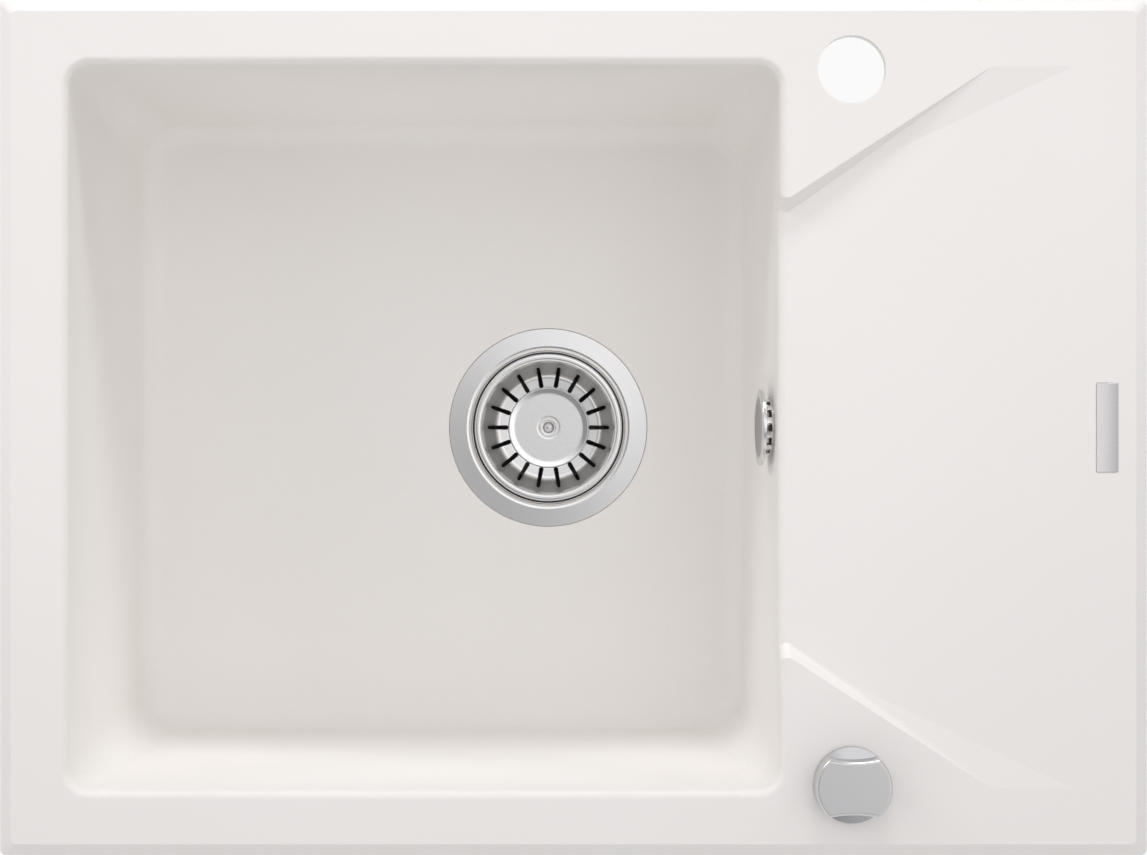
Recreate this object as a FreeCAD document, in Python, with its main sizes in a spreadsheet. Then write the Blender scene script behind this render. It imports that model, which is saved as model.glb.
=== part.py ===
import FreeCAD, Part
import Sketcher
import math
import os

# Inset kitchen sink cast in granite composite: one bowl, a faceted drainer, a basket
# waste worked by a knob on the deck, and an overflow in the bowl's right wall.
# Millimetres. The rim's underside, which lies on the worktop, is z = 0.
# +X runs to the drainer, +Y to the tap side.

# Rim and deck
rim_length = 590
rim_width = 440
deck_thick = 10
rim_corner = 3
bevel_width = 6
bevel_height = 3.5
seat_width = 14
deck_recess = 1.5
overrun = 2

# Bowl
bowl_left_margin = 35
bowl_right = 106
bowl_side_margin = 33.3
bowl_depth = 178
left_lean = 13.5
right_lean = 9.5
side_lean = 14.5
mouth_corner = 11
floor_corner = 24
wall_thick = 8
floor_thick = 10
floor_fillet = 13
shell_fillet = 16
lip_fillet = 4.5

# Drainer
drainer_margin = 38.3
drainer_side_margin = 34.6
drainer_fall = 7.5
drainer_thick = 8
facet_slope_share = 2.145
plateau_inset = 42.1
plateau_reach = 70.6
plateau_taper_angle = 38.5
belly_inset = 35.4

# Tap hole and trim plate
tap_offset = 37
tap_inset = 36
tap_hole = 17.5
trim_inset = 21
trim_length = 46
trim_width = 11.3
trim_corner = 0.8
trim_thick = 0.8
trim_edge = 0.3
trim_recess = 0.5
trim_gap = 0.1

# Waste: flange, basket and body round the drain axis
drain_inset = 120.6
dish_radius = 94
dish_drop = 1
seat_recess = 2
seat_gap = 0.2
flange_radius = 57
flange_lip = 47
lip_round = 3.6
steel_thick = 1.4
flange_edge = 0.4
flange_fall = 0.8
flange_seal_thick = 1.2
hole_gap = 0.8
basket_seat_drop = 8
seat_fall = 2.5
cup_radius = 39.4
cup_depth = 52
cup_drain_radius = 8.5
cup_drain_circle = 24
basket_radius = 43
basket_drop = 6.4
basket_lip = 2.2
basket_thick = 0.8
basket_shoulder = 36.4
shoulder_drop = 17
basket_floor = 24.6
basket_bend = 14
bend_drop = 27.6
disc_radius = 20.8
disc_drop = 29
dimple_radius = 6.4
dimple_depth = 0.9
dimple_flat = 4.2
slot_inner = 23.2
slot_outer = 35
slot_inner_width = 2.6
slot_outer_width = 1.7
running_gap = 0.3
slip_gap = 0.1
socket_radius = 6.4
socket_head = 8
socket_head_thick = 1.6
socket_length = 15.6
socket_web = 7.4
basket_screw_radius = 2
basket_screw_head = 3.4
basket_screw_dome = 1.4
basket_screw_length = 6
screw_slot_width = 1
screw_slot_depth = 0.8
clamp_radius = 6.5
clamp_head = 9.5
clamp_head_thick = 2.6
pin_radius = 4
pin_foot = 6
pin_foot_thick = 2
pin_foot_rise = 3
pin_nose = 0.8
gasket_thick = 3
gasket_radius = 57
body_radius = 48
body_wall = 3
body_flange = 58
body_flange_thick = 5
body_room = 6
funnel_fall = 22
outlet_radius = 23.9
outlet_wall = 3.4
outlet_length = 62
outlet_thread = 22
outlet_neck = 22.4
weld_collar = 26.5
weld_collar_thick = 3
hub_radius = 10.5
hub_length = 22
spoke_thick = 4
spoke_depth = 10

# Rocker that lifts the pin, and its cable pulley
axle_offset = 15
axle_fall = 10
axle_radius = 3
axle_inner = 5
finger_tip = 3
finger_thick = 6
rocker_swing_angle = 35
boss_radius = 6.4
boss_start = 14
boss_end = 52
pulley_radius = 15.4

# Cable housings, one at each end of the drive
case_wall = 2.4
case_depth = 13
case_cover_thick = 2.5
pulley_case_radius = 20.5
drum_case_radius = 19
wheel_thick = 6
wheel_groove = 1.6
wheel_side_gap = 1.6
gland_boss = 5.2
gland_reach = 8
gland_bore = 1.6
gland_shank = 3
gland_shank_length = 7
gland_head = 5
gland_head_thick = 4
gland_nose = 3.6
gland_nose_length = 6
cover_screw_radius = 1.1
cover_screw_head = 1.9
cover_screw_head_thick = 1.4
cover_screw_length = 6
cover_ear = 2.8
ear_offset = 0.8

# Knob on the deck
knob_offset = 36.5
knob_inset = 37
knob_hole = 15
knob_radius = 19.5
knob_height = 20.3
knob_ledge = 6
ledge_rise = 4.2
knob_lift = 0.4
knob_skirt = 1.1
knob_hollow = 3.4
grip_end_half = 14.8
grip_hollow = 62
knob_edge = 1.4
shaft_radius = 5
shaft_top = 14
bush_flange = 17.8
bush_flange_thick = 2
bush_radius = 14.4
bush_length = 32
bush_seal_thick = 0.8
washer_radius = 22
washer_thick = 1.5
nut_across = 40
nut_thick = 7
drum_radius = 8

# Overflow in the right wall
overflow_drop = 38
cap_radius = 20
cap_thick = 2
cap_edge = 0.8
cap_dish = 16
cap_dish_depth = 0.9
collar_radius = 14.6
collar_wall = 2
collar_length = 4.6
collar_band = 0.9
collar_slot = 4.4
collar_spider = 1.6
collar_spoke = 5
stud_radius = 3
stud_length = 14
wall_hole = 12.6
elbow_spigot = 12
elbow_set = 1
elbow_flange = 19
elbow_flange_thick = 3
elbow_radius = 14
elbow_bore = 10.2
elbow_length = 30
elbow_back = 3
elbow_gasket_thick = 2.5
elbow_spider = 6
spider_hub = 5
socket_outer = 13
socket_reach = 34
socket_deep = 14
pipe_radius = 10
pipe_wall = 1.6
pipe_bend = 45
inlet_drop = 38
inlet_reach = 20
ring_nut_radius = 16.5
ring_nut_length = 12
ring_nut_lip = 3
flute_radius = 1.6
flute_depth = 0.7

os.makedirs("parts", exist_ok=True)
doc = FreeCAD.newDocument("granite_sink")
sheet = doc.addObject("Spreadsheet::Sheet", "dims")


class Size:
    """A number with the sheet expression that drives it."""

    def __init__(self, value, text):
        self.value = value
        self.text = text

    def joined(self, sign, other, value):
        return Size(value, "(%s %s %s)" % (self.text, sign, other.text))

    def __add__(self, other):
        other = sized(other)
        return self.joined("+", other, self.value + other.value)

    def __sub__(self, other):
        other = sized(other)
        return self.joined("-", other, self.value - other.value)

    def __mul__(self, other):
        other = sized(other)
        return self.joined("*", other, self.value * other.value)

    def __truediv__(self, other):
        other = sized(other)
        return self.joined("/", other, self.value / other.value)

    def __rmul__(self, other):
        return sized(other) * self

    def __neg__(self):
        return Size(-self.value, "(-1 * %s)" % self.text)


def sized(number):
    return number if isinstance(number, Size) else Size(float(number), repr(number))


def root(size):
    return Size(math.sqrt(size.value), "sqrt(%s)" % size.text)


def lean_angle(rise, run):
    """The angle in degrees whose tangent is rise / run."""
    angle = math.degrees(math.atan2(rise.value, run.value))
    return Size(angle, "(atan(%s / %s) / 1deg)" % (rise.text, run.text))


# Each size above goes into a cell of the sheet, and its name then stands for that cell
sizes = {name: value for name, value in globals().items() if isinstance(value, (int, float))}
for row, (name, value) in enumerate(sizes.items(), 1):
    sheet.set("A%d" % row, name)
    sheet.set("B%d" % row, str(value))
    sheet.setAlias("B%d" % row, name)
    globals()[name] = Size(float(value), "dims.%s" % name)

# Places that follow from the rim's, the bowl's and the cup's sizes
half_length = rim_length / 2
half_width = rim_width / 2
bowl_left = half_length - bowl_left_margin
bowl_half_width = half_width - bowl_side_margin
drainer_end = half_length - drainer_margin
drainer_half = half_width - drainer_side_margin
plateau_tip = drainer_end - plateau_inset
plateau_root = drainer_half - plateau_reach
belly_half = drainer_half - belly_inset
tap_x = bowl_right + tap_offset
tap_y = half_width - tap_inset
knob_x = bowl_right + knob_offset
knob_y = knob_inset - half_width
trim_x = half_length - trim_inset
drain_x = bowl_right - drain_inset
body_depth = cup_depth + body_room
funnel_depth = body_depth + funnel_fall
outlet_end = funnel_depth + outlet_length
axle_drop = funnel_depth + axle_fall

# Counts of what repeats
cup_drains = 6
slots = 18
spokes = 3
cover_screws = 3
collar_slots = 12
nut_flutes = 18

doc.recompute()


def plane(body, role):
    """One of the body's own origin planes or axes."""
    return [part for part in body.Origin.OriginFeatures if part.Role == role][0]


def new_body(label, x=0, y=0, z=0, axis=None, angle=None):
    """A body under its node name, set in place by bound coordinates."""
    body = doc.addObject("PartDesign::Body", label)
    body.Label = label
    turn = FreeCAD.Rotation()
    if axis is not None:
        turn = FreeCAD.Rotation(FreeCAD.Vector(*axis), angle.value)
    spot = [sized(value) for value in (x, y, z)]
    body.Placement = FreeCAD.Placement(FreeCAD.Vector(*[s.value for s in spot]), turn)
    for letter, size in zip("xyz", spot):
        body.setExpression("Placement.Base.%s" % letter, size.text)
    if axis is not None:
        body.setExpression("Placement.Rotation.Angle", angle.text)
    return body


def new_sketch(body, role, offset=None, across=None, up=None, axis=(1, 0, 0), turn=None):
    """A sketch on an origin plane, moved along its normal, across or up, and turned about an axis."""
    sketch = body.newObject("Sketcher::SketchObject", "Sketch")
    sketch.AttachmentSupport = (plane(body, role), "")
    sketch.MapMode = "FlatFace"
    if turn is not None:
        rotation = FreeCAD.Rotation(FreeCAD.Vector(*axis), turn.value)
        sketch.AttachmentOffset = FreeCAD.Placement(FreeCAD.Vector(), rotation)
        sketch.setExpression("AttachmentOffset.Rotation.Angle", turn.text)
    for letter, size in zip("xyz", (across, up, offset)):
        if size is not None:
            sketch.setExpression("AttachmentOffset.Base.%s" % letter, size.text)
    return sketch


def pin_point(sketch, item, end, point):
    """Hold one end of a line or arc at a bound place."""
    for kind, axis_line, size in zip(("DistanceX", "DistanceY"), (-2, -1), point):
        if not isinstance(size, Size):
            sketch.addConstraint(Sketcher.Constraint("PointOnObject", item, end, axis_line))
            continue
        index = sketch.addConstraint(Sketcher.Constraint(kind, -1, 1, item, end, size.value))
        sketch.setExpression("Constraints[%d]" % index, size.text)


def outline(sketch, points):
    """A closed outline. A point's third entry is the radius of the arc to the next point,
    with a fourth of -1 where that arc runs clockwise."""
    ends = []
    spots = [FreeCAD.Vector(sized(p[0]).value, sized(p[1]).value, 0) for p in points]
    for number, point in enumerate(points):
        start = spots[number]
        stop = spots[(number + 1) % len(points)]
        if len(point) == 2:
            item = sketch.addGeometry(Part.LineSegment(start, stop), False)
            ends.append((item, 1, 2))
            continue
        way = point[3] if len(point) > 3 else 1
        chord = stop - start
        reach = math.sqrt(max(0, point[2].value ** 2 - (chord.Length / 2) ** 2))
        across = FreeCAD.Vector(-chord.y, chord.x, 0).normalize()
        centre = (start + stop) / 2 + across * reach * way
        first, last = (start, stop) if way > 0 else (stop, start)
        begin = math.atan2(first.y - centre.y, first.x - centre.x)
        finish = math.atan2(last.y - centre.y, last.x - centre.x)
        circle = Part.Circle(centre, FreeCAD.Vector(0, 0, 1), point[2].value)
        item = sketch.addGeometry(Part.ArcOfCircle(circle, begin, finish), False)
        if reach < level:
            square = "Horizontal" if abs(chord.x) > abs(chord.y) else "Vertical"
            sketch.addConstraint(Sketcher.Constraint(square, item, 3, item, 1))
        else:
            index = sketch.addConstraint(Sketcher.Constraint("Radius", item, point[2].value))
            sketch.setExpression("Constraints[%d]" % index, point[2].text)
        ends.append((item, 1, 2) if way > 0 else (item, 2, 1))
    for number, (item, begin, finish) in enumerate(ends):
        following = ends[(number + 1) % len(ends)]
        sketch.addConstraint(Sketcher.Constraint("Coincident", item, finish, following[0], following[1]))
        pin_point(sketch, item, begin, points[number])
    return sketch


def circle(sketch, x, y, radius):
    """A full circle held by its centre and radius."""
    spot = FreeCAD.Vector(sized(x).value, sized(y).value, 0)
    item = sketch.addGeometry(Part.Circle(spot, FreeCAD.Vector(0, 0, 1), radius.value), False)
    index = sketch.addConstraint(Sketcher.Constraint("Radius", item, radius.value))
    sketch.setExpression("Constraints[%d]" % index, radius.text)
    pin_point(sketch, item, 3, (x, y))
    return sketch


def pad(body, sketch, length, down=False, taper=None):
    """Material grown from a sketch along its normal, or against it."""
    feature = body.newObject("PartDesign::Pad", "Pad")
    feature.Profile = sketch
    feature.Reversed = down
    feature.setExpression("Length", length.text)
    if taper is not None:
        feature.setExpression("TaperAngle", taper.text)
    doc.recompute()
    return feature


def cut(body, sketch, length, forward=False):
    """Material taken away from a sketch against its normal, or along it."""
    before = body.Shape.Volume
    feature = body.newObject("PartDesign::Pocket", "Pocket")
    feature.Profile = sketch
    feature.Reversed = forward
    feature.setExpression("Length", length.text)
    doc.recompute()
    if body.Shape.Volume >= before:
        raise ValueError("a cut in %s removes nothing" % body.Label)
    return feature


def spin(body, points, kind="PartDesign::Revolution", across=None, up=None):
    """A turned form: the outline spun about its sketch's upright axis."""
    sketch = outline(new_sketch(body, "XZ_Plane", None, across, up), points)
    feature = body.newObject(kind, "Turned")
    feature.Profile = sketch
    feature.ReferenceAxis = (sketch, ["V_Axis"])
    feature.Angle = 360
    doc.recompute()
    return feature


def loft(body, first, second, kind="PartDesign::AdditiveLoft"):
    """A straight-sided loft between two sketches."""
    feature = body.newObject(kind, "Loft")
    feature.Profile = first
    feature.Sections = [second]
    feature.Ruled = True
    doc.recompute()
    return feature


def ring(body, feature, count, role="Z_Axis"):
    """Copies of a feature evenly round one of the body's axes."""
    feature_ring = body.newObject("PartDesign::PolarPattern", "PolarPattern")
    feature_ring.Originals = [feature]
    feature_ring.Axis = (plane(body, role), [""])
    feature_ring.Angle = 360
    feature_ring.Occurrences = count
    body.Tip = feature_ring
    doc.recompute()
    return feature_ring


def rounded(left, right, front, back, corner):
    """A rectangle with arcs at its corners, from its front left round to the right."""
    return [
        (left + corner, front),
        (right - corner, front, corner),
        (right, front + corner),
        (right, back - corner, corner),
        (right - corner, back),
        (left + corner, back, corner),
        (left, back - corner),
        (left, front + corner, corner),
    ]


def round_edges(body, radius, test):
    """A fillet on every edge that the test picks by its middle and its box."""
    base = body.Tip
    picked = []
    for number, edge in enumerate(base.Shape.Edges):
        if test(edge.BoundBox):
            picked.append("Edge%d" % (number + 1))
    feature = body.newObject("PartDesign::Fillet", "Fillet")
    feature.Base = (base, picked)
    feature.setExpression("Radius", radius.text)
    doc.recompute()
    return feature


def at_height(height):
    """A test for edges that lie flat at one height."""

    def flat(box):
        return abs(box.ZMin - height.value) < level and abs(box.ZMax - height.value) < level

    return flat


level = 0.001

# Basin: the deck with its bevelled rim
basin = new_body("basin")
rim = rounded(-half_length, half_length, -half_width, half_width, rim_corner)
pad(basin, outline(new_sketch(basin, "XY_Plane"), rim), deck_thick - bevel_height)
top_length = half_length - bevel_width
top_width = half_width - bevel_width
top = rounded(-top_length, top_length, -top_width, top_width, rim_corner)
bevel_foot = outline(new_sketch(basin, "XY_Plane", deck_thick - bevel_height), rim)
bevel_top = outline(new_sketch(basin, "XY_Plane", deck_thick), top)
loft(basin, bevel_foot, bevel_top)

# Inside the seat the deck's underside is set back, so only the seat meets the worktop
in_length = half_length - seat_width
in_width = half_width - seat_width
inside = rounded(-in_length, in_length, -in_width, in_width, rim_corner)
cut(basin, outline(new_sketch(basin, "XY_Plane"), inside), deck_recess, forward=True)


def bowl_outline(drop, out):
    """The bowl's outline at a drop below the deck, moved out by a wall."""
    share = drop / bowl_depth
    corner = mouth_corner + (floor_corner - mouth_corner) * share
    return rounded(
        -bowl_left + left_lean * share - out,
        bowl_right - right_lean * share + out,
        -bowl_half_width + side_lean * share - out,
        bowl_half_width - side_lean * share + out,
        corner + out,
    )


floor_level = deck_thick - bowl_depth
shell_start = deck_thick / 2
shell_depth = bowl_depth + floor_thick
no_length = overrun - overrun

# Outer shell of the bowl
shell_top = outline(
    new_sketch(basin, "XY_Plane", deck_thick - shell_start),
    bowl_outline(shell_start, wall_thick),
)
shell_foot = outline(
    new_sketch(basin, "XY_Plane", deck_thick - shell_depth),
    bowl_outline(shell_depth, wall_thick),
)
loft(basin, shell_top, shell_foot)
round_edges(basin, shell_fillet, at_height(deck_thick - shell_depth))

# Belly under the drainer keeps its floor as thick as the deck
drainer_run = drainer_end - bowl_right
belly = outline(
    new_sketch(basin, "XZ_Plane", -belly_half),
    [
        (bowl_right, deck_thick - drainer_fall - drainer_thick),
        (drainer_end, deck_recess),
        (drainer_end, shell_start),
        (bowl_right, shell_start),
    ],
)
pad(basin, belly, belly_half * 2)

# Drainer: a hipped fall towards the bowl, with facets along both sides
fall_slope = drainer_fall / drainer_run
facet_slope = fall_slope * facet_slope_share
hip_start = bowl_right - wall_thick
hip_depth = fall_slope * (drainer_end - hip_start)


def hip_section(x, depth):
    """The fall's section across the drainer at one place along it."""
    foot = drainer_half - depth / facet_slope if isinstance(depth, Size) else drainer_half
    bottom = deck_thick - depth
    head = drainer_half + overrun / facet_slope
    return outline(
        new_sketch(basin, "YZ_Plane", x),
        [
            (-foot, bottom),
            (foot, bottom),
            (head, deck_thick + overrun),
            (-head, deck_thick + overrun),
        ],
    )


hip_near = hip_section(hip_start, hip_depth)
hip_far = hip_section(drainer_end, 0)
loft(basin, hip_near, hip_far, "PartDesign::SubtractiveLoft")

# Raised plateaus for the tap and the knob, with sloping diagonal edges
diagonal = (drainer_half - plateau_root) / (plateau_tip - bowl_right)
plateau_near = plateau_root - diagonal * wall_thick
for side in (1, -1):
    corners = [
        (plateau_tip, drainer_half * side),
        (hip_start, plateau_near * side),
        (hip_start, (drainer_half + overrun) * side),
        (plateau_tip, (drainer_half + overrun) * side),
    ]
    plateau = outline(new_sketch(basin, "XY_Plane", deck_thick), corners)
    pad(basin, plateau, hip_depth, down=True, taper=plateau_taper_angle)

# Bowl cavity
mouth = outline(new_sketch(basin, "XY_Plane", deck_thick), bowl_outline(no_length, no_length))
bottom = outline(new_sketch(basin, "XY_Plane", floor_level), bowl_outline(bowl_depth, no_length))
loft(basin, mouth, bottom, "PartDesign::SubtractiveLoft")
round_edges(basin, floor_fillet, at_height(floor_level))


def at_mouth(box):
    """A test for the edges of the bowl's mouth, which dips along the drainer."""
    within = box.XMin > -bowl_left.value - level and box.XMax < bowl_right.value + level
    within = within and max(box.YMax, -box.YMin) < bowl_half_width.value + level
    low = deck_thick.value - hip_depth.value - level
    dips = box.XMin > bowl_right.value - overrun.value and box.ZMin > low
    return within and (at_height(deck_thick)(box) or dips)


round_edges(basin, lip_fillet, at_mouth)

# Holes through the deck for the tap and the knob
for hole_x, hole_y, hole_radius in ((tap_x, tap_y, tap_hole), (knob_x, knob_y, knob_hole)):
    hole = circle(new_sketch(basin, "XY_Plane", deck_thick), hole_x, hole_y, hole_radius)
    cut(basin, hole, deck_thick + overrun)

# Overflow hole, square to the leaning right wall
wall_lean = lean_angle(right_lean, bowl_depth)
wall_slant = root(bowl_depth * bowl_depth + right_lean * right_lean)
lean_cos = bowl_depth / wall_slant
lean_sin = right_lean / wall_slant
overflow_x = bowl_right - right_lean * overflow_drop / bowl_depth
overflow_z = deck_thick - overflow_drop
for forward in (True, False):
    wall_sketch = new_sketch(basin, "YZ_Plane", overflow_x, None, overflow_z, (1, 0, 0), wall_lean)
    overflow_cut = basin.newObject("PartDesign::Pocket", "Pocket")
    overflow_cut.Profile = circle(wall_sketch, 0, 0, wall_hole)
    overflow_cut.Reversed = forward
    overflow_cut.setExpression("Length", (wall_thick + overrun).text)
    doc.recompute()

# Drain: a shallow dish, the flange's seat and the hole
drain_hole = flange_lip - lip_round + steel_thick + hole_gap
seat_radius = flange_radius + seat_gap
seat_drop = dish_drop + seat_recess
spin(
    basin,
    [
        (0, overrun),
        (dish_radius, overrun),
        (dish_radius, 0),
        (seat_radius, -dish_drop),
        (seat_radius, -seat_drop),
        (drain_hole, -seat_drop),
        (drain_hole, -floor_thick - overrun),
        (0, -floor_thick - overrun),
    ],
    "PartDesign::Groove",
    drain_x,
    floor_level,
)

# Trim plate, bare, let into the deck beyond the drainer
half_trim_width = trim_width / 2
half_trim_length = trim_length / 2
trim_left = trim_x - half_trim_width
trim_right = trim_x + half_trim_width
pocket_outline = rounded(
    trim_left - trim_gap,
    trim_right + trim_gap,
    -half_trim_length - trim_gap,
    half_trim_length + trim_gap,
    trim_corner + trim_gap,
)
cut(basin, outline(new_sketch(basin, "XY_Plane", deck_thick), pocket_outline), trim_recess)
trim_plate = new_body("trim_plate", 0, 0, deck_thick - trim_recess)
plate_outline = rounded(trim_left, trim_right, -half_trim_length, half_trim_length, trim_corner)
pad(trim_plate, outline(new_sketch(trim_plate, "XY_Plane"), plate_outline), trim_thick)
round_edges(trim_plate, trim_edge, at_height(trim_thick))

# Flange seal and the pressed flange with its cup, heights from the bowl's floor
flange_seal = new_body("flange_seal", drain_x, 0, floor_level)
seal_top = flange_seal_thick - seat_drop
spin(
    flange_seal,
    [
        (flange_lip, -seat_drop),
        (flange_radius - seat_gap, -seat_drop),
        (flange_radius - seat_gap, seal_top),
        (flange_lip, seal_top),
    ],
)
strainer_flange = new_body("strainer_flange", drain_x, 0, floor_level)
flange_top = seal_top + steel_thick
lip_wall = flange_lip - lip_round
lip_foot = flange_top - lip_round
cup_outer = cup_radius + steel_thick
cup_under = cup_depth + steel_thick
seat_foot = basket_seat_drop + seat_fall
clamp_hole = clamp_radius + slip_gap
spin(
    strainer_flange,
    [
        (clamp_hole, -cup_depth),
        (clamp_hole, -cup_under),
        (cup_outer, -cup_under),
        (cup_outer, -seat_foot - steel_thick),
        (lip_wall + steel_thick, -basket_seat_drop - steel_thick),
        (lip_wall + steel_thick, lip_foot, lip_round - steel_thick, -1),
        (flange_lip, seal_top),
        (flange_radius, seal_top),
        (flange_radius, flange_top - flange_fall - flange_edge, flange_edge),
        (flange_radius - flange_edge, flange_top - flange_fall),
        (flange_lip, flange_top, lip_round),
        (lip_wall, lip_foot),
        (lip_wall, -basket_seat_drop),
        (cup_radius, -seat_foot),
        (cup_radius, -cup_depth),
    ],
)
cup_drain = circle(
    new_sketch(strainer_flange, "XY_Plane", -cup_depth + overrun),
    cup_drain_circle,
    0,
    cup_drain_radius,
)
ring(strainer_flange, cut(strainer_flange, cup_drain, steel_thick + overrun * 2), cup_drains)

# Strainer basket with its ring of tapered slots
basket = new_body("strainer_basket", drain_x, 0, floor_level)
lip_inner = basket_radius - basket_lip * 2
lip_core = basket_lip - basket_thick
under_disc = disc_drop + basket_thick
dimple_floor = disc_drop + dimple_depth
spin(
    basket,
    [
        (0, -dimple_floor - basket_thick),
        (dimple_flat + basket_thick, -dimple_floor - basket_thick),
        (dimple_radius + basket_thick, -under_disc),
        (disc_radius + basket_thick, -under_disc),
        (basket_floor + basket_thick, -bend_drop - basket_thick, basket_bend + basket_thick),
        (basket_shoulder + basket_thick, -shoulder_drop),
        (lip_inner + basket_thick, -basket_drop, lip_core, -1),
        (basket_radius - basket_thick, -basket_drop),
        (basket_radius, -basket_drop, basket_lip),
        (lip_inner, -basket_drop),
        (basket_shoulder, -shoulder_drop, basket_bend, -1),
        (basket_floor, -bend_drop),
        (disc_radius, -disc_drop),
        (dimple_radius, -disc_drop),
        (dimple_flat, -dimple_floor),
        (0, -dimple_floor),
    ],
)
slot = outline(
    new_sketch(basket, "XY_Plane"),
    [
        (slot_inner, -slot_inner_width / 2),
        (slot_outer, -slot_outer_width / 2, slot_outer_width / 2),
        (slot_outer, slot_outer_width / 2),
        (slot_inner, slot_inner_width / 2, slot_inner_width / 2),
    ],
)
ring(basket, cut(basket, slot, under_disc + overrun), slots)

# Seal under the basket's rim, its underside along the flange's seat
basket_seal = new_body("basket_seal", drain_x, 0, floor_level)
seat_slope = seat_fall / (lip_wall - cup_radius)
seal_inner = cup_radius + running_gap
seal_head = basket_drop + slip_gap
seal_outer_foot = basket_seat_drop + seat_slope * (lip_wall - basket_radius) - running_gap
seal_inner_foot = seat_foot - seat_slope * running_gap - running_gap
spin(
    basket_seal,
    [
        (seal_inner, -seal_inner_foot),
        (basket_radius, -seal_outer_foot),
        (basket_radius, -seal_head),
        (seal_inner, -seal_head),
    ],
)

# Guide socket under the basket, held by the screw in the dimple
socket_top = dimple_floor + basket_thick
basket_socket = new_body("basket_socket", drain_x, 0, floor_level - socket_top)
screw_hole = basket_screw_radius + slip_gap
pin_bore = pin_radius + slip_gap
spin(
    basket_socket,
    [
        (screw_hole, -socket_web),
        (pin_bore, -socket_web),
        (pin_bore, -socket_length),
        (socket_radius, -socket_length),
        (socket_radius, -socket_head_thick),
        (socket_head, -socket_head_thick),
        (socket_head, 0),
        (screw_hole, 0),
    ],
)
screw_cut = circle(new_sketch(basket, "XY_Plane", -disc_drop), 0, 0, screw_hole)
cut(basket, screw_cut, dimple_depth + basket_thick + overrun)
basket_screw = new_body("basket_screw", drain_x, 0, floor_level - dimple_floor)
dome_round = (basket_screw_head * basket_screw_head / basket_screw_dome + basket_screw_dome) / 2
spin(
    basket_screw,
    [
        (0, -basket_screw_length),
        (basket_screw_radius, -basket_screw_length),
        (basket_screw_radius, 0),
        (basket_screw_head, 0, dome_round),
        (0, basket_screw_dome),
    ],
)
blade_slot = outline(
    new_sketch(basket_screw, "XY_Plane", basket_screw_dome),
    [
        (-screw_slot_width / 2, -basket_screw_head),
        (screw_slot_width / 2, -basket_screw_head),
        (screw_slot_width / 2, basket_screw_head),
        (-screw_slot_width / 2, basket_screw_head),
    ],
)
cut(basket_screw, blade_slot, screw_slot_depth)

# Hollow clamping screw that pulls the flange down to the body's hub
clamp_screw = new_body("clamp_screw", drain_x, 0, floor_level - cup_depth)
clamp_length = steel_thick + hub_length
spin(
    clamp_screw,
    [
        (pin_bore, -clamp_length),
        (clamp_radius, -clamp_length),
        (clamp_radius, 0),
        (clamp_head, 0),
        (clamp_head, clamp_head_thick),
        (pin_bore, clamp_head_thick),
    ],
)

# Gasket and moulded waste body under the bowl
body_top = floor_thick + gasket_thick
body_bore = body_radius - body_wall
body_gasket = new_body("body_gasket", drain_x, 0, floor_level)
spin(
    body_gasket,
    [
        (body_bore, -body_top),
        (gasket_radius, -body_top),
        (gasket_radius, -floor_thick),
        (body_bore, -floor_thick),
    ],
)
waste_body = new_body("waste_body", drain_x, 0, floor_level)
outlet_bore = outlet_radius - outlet_wall
tail_top = funnel_depth + body_wall
spin(
    waste_body,
    [
        (body_bore, -body_top),
        (body_bore, -body_depth),
        (outlet_bore, -funnel_depth),
        (outlet_bore, -tail_top),
        (outlet_neck, -tail_top),
        (body_radius, -body_depth - body_wall / 2),
        (body_radius, -body_top - body_flange_thick),
        (body_flange, -body_top - body_flange_thick),
        (body_flange, -body_top),
    ],
)
hub_top = new_sketch(waste_body, "XY_Plane", -cup_under)
pad(waste_body, circle(hub_top, 0, 0, hub_radius), hub_length, down=True)
spoke_foot = cup_under + hub_length
spoke_top = spoke_foot - spoke_depth
funnel_slope = (body_bore - outlet_bore) / (funnel_depth - body_depth)
spoke_reach = body_bore + body_wall / 2
spoke = outline(
    new_sketch(waste_body, "XZ_Plane", -spoke_thick / 2),
    [
        (clamp_hole, -spoke_foot),
        (spoke_reach - funnel_slope * (spoke_foot - body_depth), -spoke_foot),
        (spoke_reach - funnel_slope * (spoke_top - body_depth), -spoke_top),
        (clamp_hole, -spoke_top),
    ],
)
ring(waste_body, pad(waste_body, spoke, spoke_thick), spokes)
hub_hole = circle(new_sketch(waste_body, "XY_Plane", -cup_under), 0, 0, clamp_hole)
cut(waste_body, hub_hole, hub_length + overrun)

# Overflow inlet on the body's side, with a socket for the pipe
inlet_start = body_radius - body_wall / 2
inlet_end = body_radius + inlet_reach
pipe_bore = pipe_radius - pipe_wall
pipe_socket = pipe_radius + slip_gap
inlet = circle(new_sketch(waste_body, "YZ_Plane", inlet_start), 0, -inlet_drop, socket_outer)
pad(waste_body, inlet, inlet_end - inlet_start)
inlet_way = circle(new_sketch(waste_body, "YZ_Plane", inlet_end), 0, -inlet_drop, pipe_bore)
cut(waste_body, inlet_way, inlet_end - body_bore + overrun)
inlet_socket = circle(new_sketch(waste_body, "YZ_Plane", inlet_end), 0, -inlet_drop, pipe_socket)
cut(waste_body, inlet_socket, socket_deep)

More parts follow.
